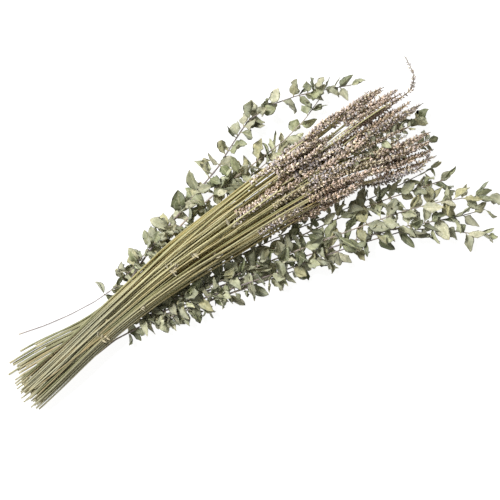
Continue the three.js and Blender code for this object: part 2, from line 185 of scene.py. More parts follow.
def makeCamera():
    data = bpy.data.cameras.new("tableCamera")
    data.lens = camera["lens"]
    data.sensor_width = camera["sensor"]
    data.clip_start, data.clip_end = 0.05, 20
    away = camera["width"] * mm / 2 / math.tan(math.atan(camera["sensor"] / 2 / camera["lens"]))
    ob = bpy.data.objects.new("tableCamera", data)
    ob.location = toRow(camera["aim"]) + Vector((0, 0, away))
    ob.rotation_euler = (0, 0, math.radians(-camera["turn"]))
    bpy.context.scene.collection.objects.link(ob)
    bpy.context.scene.camera = ob


makeCamera()
print("camera made")


# quads between rings of points, with each corner's share of the way along and round
def ringQuads(rings, sides):
    r, c = (v.ravel() for v in np.meshgrid(np.arange(rings - 1), np.arange(sides), indexing="ij"))
    after = (c + 1) % sides
    quads = np.stack([r * sides + c, r * sides + after, (r + 1) * sides + after, (r + 1) * sides + c], 1)
    corners = np.array([[r, c], [r, c + 1], [r + 1, c + 1], [r + 1, c]])
    return quads, np.moveaxis(corners, 2, 0) / [rings - 1, sides]


def disc(sides, radius):
    turn = np.arange(sides) * 2 * math.pi / sides
    return radius * np.stack([np.cos(turn), np.sin(turn)], 1)


# Tubes and pods are added one by one, each with its own squares of the bake map, and then made into one
# mesh. Columns of points always join round.
class MeshMaker:
    def __init__(self):
        self.verts, self.colors = [], []
        self.faces, self.uvs, self.grains, self.cell, self.slot = [], [], [], [], []
        self.count = 0
        self.cells = 0

    def addPoints(self, points, colors):
        base = self.count
        self.verts.append(points.reshape(-1, 3))
        self.colors.append(np.broadcast_to(colors, points.shape).reshape(-1, 3))
        self.count += len(self.verts[-1])
        return base

    # the faces share the next square of the bake map, or copy says how many squares on each of them goes
    def addFaces(self, faces, corners, slot, size=(1, 1), copy=0):
        self.faces.append(faces)
        self.uvs.append(corners)
        self.grains.append(corners * np.asarray(size, float))
        self.cell.append(np.broadcast_to(self.cells + copy, len(faces)))
        self.slot.append(np.full(len(faces), slot))

    # points (rings, sides, 3), in sections with a square each, and a cap on both ends
    def tube(self, points, colors, size, slot=0, sections=1):
        steps, sides = len(points) - 1, points.shape[1]
        colors = np.broadcast_to(colors, points.shape)
        first = self.count
        cuts = [round(v) for v in np.linspace(0, steps, sections + 1)]
        for a, b in zip(cuts[:-1], cuts[1:]):
            base = self.addPoints(points[a:b + 1], colors[a:b + 1])
            quads, corners = ringQuads(b + 1 - a, sides)
            self.addFaces(base + quads, corners, slot, (size[0] * (b - a) / steps, size[1]))
            self.cells += 1
        round_ = 0.5 + disc(sides, 0.5)
        for ring, corners in ((np.arange(first, first + sides)[::-1], round_[::-1]),
                              (np.arange(self.count - sides, self.count), round_)):
            self.addFaces(ring[None], corners[None], slot)
            self.cells += 1

    # many copies of a closed pod: points (copies, rings, sides, 3), with a square for each copy
    def pods(self, points, colors, slot):
        copies, rings, sides = points.shape[:3]
        if copies == 0:
            return
        starts = self.addPoints(points, colors) + np.arange(copies) * rings * sides
        quads, corners = ringQuads(rings, sides)
        sheet = np.tile(corners / [1.3, 1], (copies, 1, 1))
        self.addFaces((starts[:, None, None] + quads).reshape(-1, 4), sheet, slot,
                      copy=np.repeat(np.arange(copies), len(quads)))
        around, cap = np.arange(sides), disc(sides, 0.1)
        for ring, corners in ((around[::-1], [0.88, 0.2] + cap[::-1]),
                              ((rings - 1) * sides + around, [0.88, 0.6] + cap)):
            self.addFaces(starts[:, None] + ring, np.broadcast_to(corners, (copies, sides, 2)), slot,
                          copy=np.arange(copies))
        self.cells += copies

    def finish(self, name, materials, node, slotName):
        verts = (np.concatenate(self.verts) + rowShift) * mm
        mesh = bpy.data.meshes.new(name)
        loops = np.concatenate([f.ravel() for f in self.faces])
        sizes = np.concatenate([np.full(len(f), f.shape[1]) for f in self.faces])
        mesh.vertices.add(len(verts))
        mesh.vertices.foreach_set("co", verts.astype(np.float32).ravel())
        mesh.loops.add(len(loops))
        mesh.loops.foreach_set("vertex_index", loops.astype(np.int32))
        mesh.polygons.add(len(sizes))
        mesh.polygons.foreach_set("loop_start", (np.cumsum(sizes) - sizes).astype(np.int32))
        mesh.polygons.foreach_set("loop_total", sizes.astype(np.int32))
        mesh.polygons.foreach_set("material_index", np.concatenate(self.slot).astype(np.int32))
        mesh.polygons.foreach_set("use_smooth", np.ones(len(sizes), bool))
        side = math.ceil(math.sqrt(self.cells))
        atlas = []
        for corners, cell in zip(self.uvs, self.cell):
            square = np.stack([cell % side, cell // side], 1)[:, None, :]
            atlas.append((0.06 + 0.88 * corners + square) / side)
        for layer, parts in (("OFBake", atlas), ("grain", self.grains)):
            places = np.concatenate([part.reshape(-1, 2) for part in parts])
            mesh.uv_layers.new(name=layer).data.foreach_set("uv", places.astype(np.float32).ravel())
        tint = mesh.attributes.new("tint", "FLOAT_COLOR", "POINT")
        rgba = np.column_stack([np.concatenate(self.colors), np.zeros(len(verts))])
        tint.data.foreach_set("color", rgba.astype(np.float32).ravel())
        mesh.update()
        mesh.validate()
        for material in materials:
            mesh.materials.append(material)
        ob = bpy.data.objects.new(name, mesh)
        bpy.context.scene.collection.objects.link(ob)
        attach(ob, "root")
        if node:
            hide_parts(node)


# rings of points round a line of places, with outline giving the share of the radius at each side
def sweep(places, radii, outline, twist=0.0):
    places = np.asarray(places, float)
    forward = np.gradient(places, axis=0)
    forward /= np.linalg.norm(forward, axis=1, keepdims=True)
    left = np.cross([0, 0, 1], forward)
    left /= np.linalg.norm(left, axis=1, keepdims=True)
    up = np.cross(forward, left)
    sides = len(outline)
    turn = np.arange(sides) * 2 * math.pi / sides + twist
    ring = np.cos(turn)[None, :, None] * left[:, None, :] + np.sin(turn)[None, :, None] * up[:, None, :]
    return places[:, None, :] + ring * np.asarray(outline)[None, :, None] * np.asarray(radii)[:, None, None]


# Materials. The colour of each piece comes from its tint, and the nodes add the grain, specks and veins.
def shade(red, green, blue):
    return ((np.array([red, green, blue]) / 255 + 0.055) / 1.055) ** 2.4


class Nodes:
    def __init__(self, name, roughness, sheen=0.0):
        self.material = bpy.data.materials.new(name)
        self.material.use_nodes = True
        self.tree = self.material.node_tree
        self.shader = self.tree.nodes["Principled BSDF"]
        self.shader.inputs["Roughness"].default_value = roughness
        self.shader.inputs["Specular IOR Level"].default_value = 0.3
        self.shader.inputs["Sheen Weight"].default_value = sheen
        self.shader.inputs["Sheen Roughness"].default_value = 0.5

    def add(self, kind, **settings):
        node = self.tree.nodes.new(kind)
        for key, value in settings.items():
            setattr(node, key, value)
        return node

    def link(self, source, target):
        self.tree.links.new(source, target)
        return source

    def tint(self):
        return self.add("ShaderNodeAttribute", attribute_name="tint").outputs["Color"]

    def math(self, operation, a, b=0.0):
        node = self.add("ShaderNodeMath", operation=operation)
        for socket, value in zip(node.inputs, (a, b)):
            if isinstance(value, (int, float)):
                socket.default_value = value
            else:
                self.link(value, socket)
        return node.outputs[0]

    def times(self, a, b):
        return self.math("MULTIPLY", a, b)

    def noise(self, vector, scale, detail, rough):
        node = self.add("ShaderNodeTexNoise")
        self.link(vector, node.inputs["Vector"])
        node.inputs["Scale"].default_value = scale
        node.inputs["Detail"].default_value = detail
        node.inputs["Roughness"].default_value = rough
        return node.outputs["Fac"]

    def ramp(self, fac, low, high, start=0.0, end=1.0):
        node = self.add("ShaderNodeMapRange", clamp=True, interpolation_type="SMOOTHSTEP")
        self.link(fac, node.inputs["Value"])
        for key, value in (("From Min", low), ("From Max", high), ("To Min", start), ("To Max", end)):
            node.inputs[key].default_value = value
        return node.outputs["Result"]

    def blend(self, fac, a, b, mode="MIX"):
        node = self.add("ShaderNodeMix", data_type="RGBA", blend_type=mode, clamp_factor=True)
        for index, value in ((0, fac), (6, a), (7, b)):
            socket = node.inputs[index]
            if isinstance(value, (int, float)):
                socket.default_value = value
            elif isinstance(value, (tuple, list, np.ndarray)):
                socket.default_value = (*[float(v) for v in value[:3]], 1.0)
            else:
                self.link(value, socket)
        return node.outputs[2]

    # the piece's own tint, times a colour
    def toned(self, rgb):
        return self.blend(1.0, self.tint(), rgb, "MULTIPLY")

    def grained(self, fac, dark, light, low=0.3, high=0.7):
        return self.blend(self.ramp(fac, low, high), self.toned(dark), self.toned(light))

    def bump(self, height, strength, distance):
        node = self.add("ShaderNodeBump")
        self.link(height, node.inputs["Height"])
        node.inputs["Strength"].default_value = strength
        node.inputs["Distance"].default_value = distance
        self.link(node.outputs["Normal"], self.shader.inputs["Normal"])

    def color(self, source):
        self.link(source, self.shader.inputs["Base Color"])

    def roughness(self, source):
        self.link(source, self.shader.inputs["Roughness"])

    # noise through the whole bunch
    def cloud(self, scale, detail, rough=0.6):
        return self.noise(self.add("ShaderNodeTexCoord").outputs["Object"], scale, detail, rough)

    # noise drawn out along a stalk or a twig
    def streaks(self, stretch, scale, detail, rough=0.6):
        node = self.add("ShaderNodeMapping")
        self.link(self.grainPlace(), node.inputs["Vector"])
        node.inputs["Scale"].default_value = stretch
        return self.noise(node.outputs["Vector"], scale, detail, rough)

    def grainPlace(self):
        return self.add("ShaderNodeUVMap", uv_map="grain").outputs["UV"]


def stalkMaterial():
    n = Nodes("driedStalk", 0.62, 0.1)
    fibres = n.streaks((0.05, 1.9, 1), 1.0, 4.0, 0.7)
    patches = n.cloud(55.0, 3.0)
    specks = n.streaks((0.5, 1.2, 1), 1.4, 2.0)
    base = n.grained(fibres, (0.55, 0.53, 0.45), (1.1, 1.1, 1.06))
    base = n.blend(n.ramp(patches, 0.5, 0.72, 0, 0.45), base, n.toned((0.98, 0.86, 0.66)))
    n.color(n.blend(n.ramp(specks, 0.66, 0.74, 0, 0.6), base, shade(96, 84, 58)))
    n.roughness(n.ramp(fibres, 0.3, 0.7, 0.74, 0.5))
    n.bump(fibres, 0.6, 0.00018)
    return n.material


def calyxMaterial():
    n = Nodes("driedCalyx", 0.85, 0.35)
    specks = n.cloud(900.0, 3.0)
    patches = n.cloud(160.0, 2.0)
    base = n.grained(specks, (0.5, 0.46, 0.46), (1.3, 1.28, 1.25), 0.32, 0.68)
    n.color(n.blend(n.ramp(patches, 0.48, 0.7, 0, 0.5), base, n.toned((0.92, 0.8, 0.7))))
    n.roughness(n.ramp(specks, 0.3, 0.7, 0.92, 0.74))
    n.bump(specks, 0.7, 0.0003)
    return n.material


def leafMaterial():
    n = Nodes("eucalyptusLeaf", 0.62, 0.15)
    place = n.add("ShaderNodeSeparateXYZ")
    n.link(n.grainPlace(), place.inputs[0])
    along, around = place.outputs[0], place.outputs[1]
    halfWay = n.math("FRACT", n.times(around, 2.0))
    aside = n.math("ABSOLUTE", n.math("SUBTRACT", n.times(halfWay, 2.0), 1.0))
    under = n.ramp(around, 0.495, 0.505)
    midrib = n.ramp(aside, 0.03, 0.12, 1, 0)
    slanted = n.math("SUBTRACT", along, n.times(aside, 2.6))
    wave = n.math("SINE", n.times(slanted, 3.4))
    sideVeins = n.times(n.ramp(wave, 0.8, 1.0), n.ramp(aside, 0.1, 0.9, 1, 0.2))
    mottle = n.cloud(260.0, 4.0, 0.65)
    specks = n.cloud(1500.0, 2.0)
    bloom = n.cloud(90.0, 2.0)
    edge = n.times(n.ramp(aside, 0.82, 1.0), n.ramp(mottle, 0.4, 0.6))
    base = n.grained(mottle, (0.66, 0.68, 0.58), (1.18, 1.16, 1.1))
    for share, tone in ((n.ramp(bloom, 0.45, 0.7, 0, 0.45), shade(172, 178, 158)),
                        (n.times(under, 0.5), shade(176, 178, 156)),
                        (n.times(sideVeins, 0.3), shade(186, 186, 150)),
                        (n.times(midrib, 0.6), shade(190, 186, 148)),
                        (n.times(edge, 0.6), shade(112, 92, 62)),
                        (n.ramp(specks, 0.68, 0.76, 0, 0.5), shade(84, 78, 52))):
        base = n.blend(share, base, tone)
    n.color(base)
    n.roughness(n.ramp(mottle, 0.3, 0.7, 0.72, 0.5))
    veins = n.math("ADD", n.times(midrib, 0.8), n.times(sideVeins, 0.35))
    n.bump(n.math("ADD", veins, mottle), 0.5, 0.00025)
    return n.material


def twigMaterial():
    n = Nodes("eucalyptusTwig", 0.7, 0.1)
    bark = n.streaks((0.35, 1.6, 1), 1.2, 4.0, 0.7)
    patches = n.cloud(45.0, 3.0)
    base = n.grained(bark, (0.55, 0.5, 0.48), (1.2, 1.18, 1.15))
    n.color(n.blend(n.ramp(patches, 0.45, 0.68, 0, 0.6), base, n.toned((0.98, 0.8, 0.66))))
    n.roughness(n.ramp(bark, 0.3, 0.7, 0.8, 0.58))
    n.bump(bark, 0.6, 0.0002)
    return n.material


def rubberMaterial():
    n = Nodes("tanRubber", 0.6)
    cloud = n.cloud(220.0, 4.0)
    n.color(n.blend(n.ramp(cloud, 0.3, 0.7), shade(150, 112, 70), shade(186, 146, 98)))
    n.roughness(n.ramp(cloud, 0.3, 0.7, 0.7, 0.5))
    n.bump(n.cloud(1400.0, 2.0), 0.3, 0.0001)
    return n.material


stalkLook, calyxLook, leafLook, twigLook = stalkMaterial(), calyxMaterial(), leafMaterial(), twigMaterial()
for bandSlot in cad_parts["rubber_band"].material_slots:
    bandSlot.material = rubberMaterial()
print("materials made")


# A smooth route through points, measured by its length.
class Route:
    def __init__(self, points):
        p = np.asarray(points, float)
        self.p = np.vstack([2 * p[0] - p[1], p, 2 * p[-1] - p[-2]])
        self.last = len(p) - 1
        self.shares = np.linspace(0, 1, 201)
        run = np.array([self.point(t) for t in self.shares])
        self.reach = np.concatenate([[0], np.cumsum(np.linalg.norm(np.diff(run, axis=0), axis=1))])
        self.length = self.reach[-1]

    def point(self, t):
        k = min(int(self.last * t), self.last - 1)
        u = self.last * t - k
        x0, x1, x2, x3 = self.p[k:k + 4]
        d0, d1, d2 = (np.linalg.norm(b - a) for a, b in ((x0, x1), (x1, x2), (x2, x3)))
        t1 = ((x1 - x0) / d0 - (x2 - x0) / (d0 + d1) + (x2 - x1) / d1) * d1
        t2 = ((x2 - x1) / d1 - (x3 - x1) / (d1 + d2) + (x3 - x2) / d2) * d1
        return x1 + t1 * u + (3 * (x2 - x1) - 2 * t1 - t2) * u * u + (2 * (x1 - x2) + t1 + t2) * u ** 3

    def at(self, share):
        return self.point(float(np.interp(share * self.length, self.reach, self.shares)))

    def spaced(self, count):
        return np.array([self.at(k / count) for k in range(count + 1)])


# A stem's or a branch's first material is its stalk's or twig's, and the second its calyxes' or leaves'.
calyxSlot = 1
leafSlot = 1

# Lavender stems with their spikes, and the colours that the spikes come in.
lilac, mauve, pink, brown, straw = range(5)
lavenderLook = {
    "stalkTints": [shade(186, 184, 150), shade(172, 172, 136), shade(198, 196, 168), shade(156, 158, 120),
                   shade(184, 170, 132), shade(182, 183, 158)],
    "pith": shade(216, 210, 178),
    # painted shade: the stalks of the lower layers, which lie under the others, are made darker and browner
    # past the band
    "paintedUnderShade": np.array([0.9, 0.82, 0.62]),
    "paler": [(5, (1.0, 0.99, 1.0)), (60, (1.34, 1.28, 1.12))],
    "ribs": [1.0, 0.86] * 4,
    "ringEvery": 11,
    # calyx tints at foot and mouth, in the order of the names above
    "spikeTints": [(shade(206, 196, 170), shade(202, 196, 200)),
                   (shade(200, 183, 156), shade(202, 190, 184)),
                   (shade(210, 191, 162), shade(214, 196, 184)),
                   (shade(188, 166, 136), shade(194, 177, 162)),
                   (shade(210, 201, 164), shade(220, 212, 190))],
    "spikeShades": (0.88, 1.42),
    "core": 1.55,
    "strayCore": 0.6,
    # the stalk inside a head: dark brown, partly its own colour and partly painted shade in the gaps
    # between the calyxes
    "coreTintAndPaintedShade": shade(128, 112, 84),
    "whorlStep": 3.2,
    "calyxes": 9,
    "calyxLength": 3.05,
    # the lean of a calyx at the foot of a spike, how much less it is at the tip, and how far it strays
    "lean": 60,
    "tipLean": 24,
    "leanSway": 17,
    "missing": 0.17,
    # where a calyx's foot stands off the stalk, how far it strays along it, and the bare tip of a spike
    "footOut": 0.75,
    "footSway": 0.55,
    "bareTip": 2.5,
    "calyxSizes": (0.7, 1.15),
    # painted highlight on each calyx's rim, and painted shade inside its throat
    "paintedRimHighlight": 1.2,
    "paintedThroatShade": 0.3,
    "podSides": 6,
    # thickness of the stalks as a share of the solid's, over the band and under it
    "overGirths": (0.66, 0.95),
    "underGirths": (0.92, 1.05),
    "tipRadius": 0.32,
    "stalkShades": (0.82, 1.12),
    "coreShades": (0.8, 1.2),
    "plumpness": (0.72, 1.02),
    "bow": 1.6,
    # lengths along the head of a straight stem and of a stray
    "headSteps": 13,
    "straySteps": 24,
    "calyxOutline": [(0, 0.3), (0.2, 0.72), (0.5, 0.98), (0.8, 0.9), (1.0, 1.02), (0.9, 0.55)],
    "corollaOutline": [(0.86, 0.3), (1.1, 0.5), (1.3, 1.0), (1.15, 0.3)],
    "corollas": 0.3,
    "strawShare": 0.14,
}


def unit(vectors):
    return vectors / np.linalg.norm(vectors, axis=-1, keepdims=True)


# pods of one outline, each at its own base, along its own direction
def podPoints(bases, along, outline, lengths, girths, rolls, jitter=1.0):
    sides = lavenderLook["podSides"]
    side = unit(np.cross(along, np.array([0.31, 0.17, 0.93])))
    other = np.cross(along, side)
    angle = np.arange(sides) * 2 * math.pi / sides + rolls[:, None]
    ring = np.cos(angle)[..., None] * side[:, None, :] + np.sin(angle)[..., None] * other[:, None, :]
    ribs = 1 + 0.1 * np.cos(math.pi * np.arange(sides))
    rings = []
    for share, radius in outline:
        middle = bases + along * (share * lengths)[:, None]
        reach = radius * girths[:, None] * ribs[None, :] * jitter
        rings.append(middle[:, None, :] + ring * reach[..., None])
    return np.stack(rings, 1)


def addSpike(maker, line, seed, tint, girth):
    line = np.asarray(line, float)
    reach = np.concatenate([[0], np.cumsum(np.linalg.norm(np.diff(line, axis=0), axis=1))])
    length = reach[-1]
    look = lavenderLook

    def onLine(s):
        return np.array([np.interp(min(max(s, 0), length), reach, line[:, k]) for k in range(3)])

    bases, along, lengths, girths, mixes, rolls = [], [], [], [], [], []
    s, row = 0.0, 0
    rng = np.random.default_rng(int(seed * 10) + 7)
    while s < length - look["bareTip"]:
        share = s / length
        forward = unit(onLine(s + 3) - onLine(s - 3))
        left = unit(np.cross([0, 0, 1], forward))
        up = np.cross(forward, left)
        plump = girth * (0.72 + 0.34 * math.sin(math.pi * min(1, share * 0.95 + 0.1)) - 0.25 * share ** 4)
        number = max(4, round(look["calyxes"] * (1 - 0.35 * share)))
        for c in range(number):
            if rng.random() < look["missing"]:
                continue
            angle = 2 * math.pi * (c + 0.5 * (row % 2)) / number + rng.normal(0, 0.16)
            out = math.cos(angle) * left + math.sin(angle) * up
            lean = math.radians(rng.normal(look["lean"] - look["tipLean"] * share, look["leanSway"]))
            bases.append(onLine(s) + forward * rng.normal(0, look["footSway"]) + out * look["footOut"])
            along.append(forward * math.cos(lean) + out * math.sin(lean))
            size = plump * rng.uniform(*look["calyxSizes"])
            lengths.append(look["calyxLength"] * size)
            girths.append(size * rng.uniform(0.8, 1.1))
            mixes.append(rng.uniform(-0.25, 0.25))
            rolls.append(rng.uniform(0, 6.3))
        s += look["whorlStep"] * (1.15 - 0.4 * share) * rng.uniform(0.85, 1.15)
        row += 1
    if not bases:
        return
    along = unit(np.array(along))
    bases, lengths, girths, mixes, rolls = map(np.array, (bases, lengths, girths, mixes, rolls))
    tints = np.array(look["spikeTints"])
    which = np.where(rng.random(len(bases)) < look["strawShare"], straw, tint)
    foot, mouth = tints[which, 0], tints[which, 1]
    bright = rng.uniform(*look["spikeShades"]) * (0.46 + 1.1 * rng.beta(1.3, 1.2, len(bases)))

    def colours(outline):
        shares = np.array([min(1.0, p[0]) for p in outline])
        both = np.clip(shares[None, :] + mixes[:, None], 0, 1)[..., None]
        rgb = (foot[:, None, :] * (1 - both) + mouth[:, None, :] * both) * bright[:, None, None]
        return np.repeat(rgb[:, :, None, :], look["podSides"], axis=2)

    shell = colours(look["calyxOutline"])
    # the rim ring is painted lighter as a highlight, and the throat ring darker as shade
    shell[:, -2] *= look["paintedRimHighlight"]
    shell[:, -1] *= look["paintedThroatShade"]
    maker.pods(podPoints(bases, along, look["calyxOutline"], lengths, girths, rolls), shell, calyxSlot)
    some = rng.random(len(bases)) < look["corollas"]
    number = int(some.sum())
    petals = colours(look["corollaOutline"])[some] * rng.uniform(0.8, 1.35, number)[:, None, None, None]
    jitter = rng.uniform(0.55, 1.35, (number, look["podSides"]))
    maker.pods(podPoints(bases[some], along[some], look["corollaOutline"], lengths[some], girths[some],
                         rolls[some], jitter), petals, calyxSlot)


def addBract(maker, base, along, across, length, half, color, curl):
    rows = []
    for share, wide in ((0, 0.2), (0.25, 0.8), (0.55, 1), (0.85, 0.5), (1, 0.05)):
        middle = base + along * length * share + np.array([0, 0, 1]) * curl * length * share * share
        rows.append([middle - across * half * wide, middle + np.array([0, 0, 0.25]),
                     middle + across * half * wide, middle - np.array([0, 0, 0.15])])
    maker.tube(np.array(rows), color, (length, 4 * half))


# A stem from its cut end at butt to its tip. Its head begins at start, and a girth of 0 leaves it bare. It
# drifts to another lane by its head, splays at its cut end, and a stray's head goes its own way.
def lavenderStem(lane, layer, seed, start, tip, butt, way=None, girth=1.0, tint=lilac, drift=0.0, lift=0.0,
                 part=None, splay=0.0):
    look = lavenderLook
    rng = np.random.default_rng(int(seed) + 3)
    maker = MeshMaker()

    def place(x):
        share = min(1, max(0, (x - butt) / (start - butt)))
        tail = min(1, max(0, (band["x"] - x) / (band["x"] - lavender["buttX"])))
        x, y, z = stalkPlace(lane + drift * share + splay * tail, layer, x, seed, part)
        raised = lift * math.sin(math.pi * share) + 1.2 * abs(splay) * math.sin(math.pi * tail)
        return np.array([x, y, z + raised])

    xs = np.linspace(butt, start, max(4, round((start - butt) / look["ringEvery"])))
    line = [place(x) for x in xs]
    if way:
        head = Route([line[-1]] + [line[-1] + np.array(p) for p in way]).spaced(look["straySteps"])
    else:
        low, high = place(start), place(tip)
        bow = rng.normal(0, look["bow"], 2) * (1 if layer > 2 else 0.4)
        head = [mix(low, high, u) + math.sin(math.pi * u) * np.array([0, bow[0], abs(bow[1])])
                for u in np.linspace(0, 1, look["headSteps"] + 1)]
    whole = line + list(head[1:])
    thick = stalkRadius * rng.uniform(*look["overGirths" if layer > 2.4 else "underGirths"])
    radii = [thick * (1.05 - 0.14 * k / len(line)) for k in range(len(line))]
    along = np.linspace(0, 1, len(head) - 1)
    core = (look["strayCore" if way else "core"] * girth * (1 - 0.35 * along)
            * np.sin(math.pi * np.clip(along * 1.04, 0, 1)) ** 0.5)
    radii += list(np.maximum(np.linspace(thick * 0.85, look["tipRadius"], len(head) - 1), core))
    points = sweep(whole, radii, look["ribs"], twist=rng.uniform(0, 6))
    base, other = (oneOf(look["stalkTints"], rng) for _ in range(2))
    colors = mix(base, other, np.linspace(0, 1, len(whole))[:, None, None])
    (near, cool), (far, warm) = look["paler"]
    share = np.clip((np.array([p[0] for p in whole]) - near) / (far - near), 0, 1)[:, None, None]
    colors = colors * mix(cool, warm, share) * rng.uniform(*look["stalkShades"])
    # painted shade, darker and browner, on the stalks of the lower layers that lie under the others
    if layer < 3:
        colors = colors * mix(1, look["paintedUnderShade"], share)
    colors = np.broadcast_to(colors, points.shape).copy()
    colors[0] = look["pith"]
    # inside the head the stalk takes the dark core colour, partly its own and partly painted shade between
    # the calyxes
    if girth > 0:
        colors[len(line) + 1:] = look["coreTintAndPaintedShade"] * rng.uniform(*look["coreShades"])
    maker.tube(points, colors, (look["ringEvery"] * (len(whole) - 1), 5.6), sections=10)
    if girth > 0:
        addSpike(maker, head, seed, tint, girth * rng.uniform(*look["plumpness"]))
    return maker, line, rng


# lane and layer of each stray, where its head begins, and the way it goes from there
strays = {
    (6, 4): (lavender["splitX"] + 0.67 * lavender["lateSpike"],
             [(16, -1, 0), (27, 1, 0), (33, 7, 0), (36, 17, -1), (37, 28, -1)]),
    (0, 4): (lavender["splitX"],
             [(16, -6, -4), (30, -10, -7), (41, -13, -9), (49, -10, -10), (56, -5, -11)]),
    (0, 2): (lavender["splitX"] - 16, [(16, -9, -4), (32, -14, -7), (47, -17, -9)]),
}


# the spikes' colours go by where they lie: mauve brown at the left edge, grey lilac in the middle,
# tan pink at the right edge
def tintAt(x, y, rng):
    side = y - level(sheaf["middle"], x)
    if side > 5:
        return oneOf([mauve, mauve, brown, lilac, pink], rng)
    if side > -13:
        return oneOf([lilac, lilac, mauve, straw, pink], rng)
    return oneOf([pink, pink, brown, mauve, straw], rng)


# papery bracts: some lie singly along the upper stalks, and a tuft of them is a broken whorl
bract = {"share": 0.5, "turn": 0.6, "rise": 0.15, "lengths": (5, 9), "halves": (1.2, 2.2), "curl": 0.3,
         "tint": shade(186, 176, 138)}
tuft = {"turn": 1.5, "rises": (0.1, 0.6), "lengths": (4, 9), "halves": (0.7, 1.6), "curls": (0, 0.4),
        "tint": shade(216, 208, 182), "shades": (0.7, 1.05),
        # station and lane of each tuft
        "places": [(86, 3.4), (42, 2.6), (-8, 2.2), (103, 3.1), (78, 4.6), (-64, 3.0), (126, 2.2),
                   (152, 3.6)]}


def addSingleBract(maker, line, rng):
    k = int(rng.integers(2, len(line) - 3))
    turn = rng.uniform(-bract["turn"], bract["turn"])
    along = np.array([math.cos(turn), math.sin(turn), bract["rise"]])
    across = np.array([-math.sin(turn), math.cos(turn), rng.uniform(-0.4, 0.4)])
    addBract(maker, line[k], along, across, rng.uniform(*bract["lengths"]), rng.uniform(*bract["halves"]),
             bract["tint"], bract["curl"])


def addTuft(maker, line, x, rng):
    k = min(range(len(line)), key=lambda n: abs(line[n][0] - x))
    for _ in range(int(rng.integers(4, 7))):
        turn = rng.uniform(-tuft["turn"], tuft["turn"])
        along = unit(np.array([math.cos(turn), math.sin(turn), rng.uniform(*tuft["rises"])]))
        across = unit(np.cross([0, 0, 1], along))
        base = line[k] + np.array([rng.uniform(-3, 3), rng.uniform(-1, 1), rng.uniform(0.4, 1.0)])
        addBract(maker, base, along, across, rng.uniform(*tuft["lengths"]), rng.uniform(*tuft["halves"]),
                 tuft["tint"] * rng.uniform(*tuft["shades"]), rng.uniform(*tuft["curls"]))


def makeLavender():
    places = [(lane, layer) for layer in range(lavender["layerCount"])
              for lane in range(lavender["laneCount"])]
    for number, (lane, layer) in enumerate(places, 1):
        seed = 10 * number
        start, tip = headOf(lane, layer, seed)
        butt = lavender["buttX"] - 3 * chance(seed + 0.3) + 5 * chance(seed + 0.4)
        start, way = strays.get((lane, layer), (start, None))
        tint = tintAt(start, stalkPlace(lane, layer, start, seed)[1], np.random.default_rng(seed))
        maker, line, rng = lavenderStem(lane, layer, seed, start, tip, butt, way, 0.9 if way else 1.0,
                                        lilac if way else tint)
        if layer >= 3 and rng.random() < bract["share"]:
            addSingleBract(maker, line, rng)
        maker.finish("lavenderStem.%02d" % number, [stalkLook, calyxLook], "lavender_stem_%02d" % number,
                     "lavender")
    return len(places)


# more stems lie in the hollows between the solids' stems, and along both edges of the over sheaf
moreStems = {"layers": [0.5, 1.5, 2.5, 3.5, 4.5], "firstHead": 170, "lastHead": 290, "spike": 56,
             "edgeLanes": [-0.6, 8.6], "edgeLayers": [2.3, 3.2], "topLayer": 5.1, "topStems": 9,
             "topHeads": (182, 250), "rightEdgeHeads": (196, 226), "leftEdgeHeads": (228, 262),
             "firstHeads": {3: 150, 5: 158, 2: 166},
             "bareLayers": (0.2, 1.2, 1.9), "bareSides": (0.28, 0.72, 0.5),
             "bareEnds": (226, 268), "betweenSpike": 54, "butts": (-9, 13), "firstSeed": 5000,
             # between the two clusters: lane, layer, start of the head, share of the parting, tint
             "between": [(4.2, 3.3, 262, -0.12, straw), (3.7, 3.9, 276, -0.38, mauve),
                         (3.4, 2.8, 270, -0.62, straw), (4.4, 2.4, 282, 0.05, pink)]}


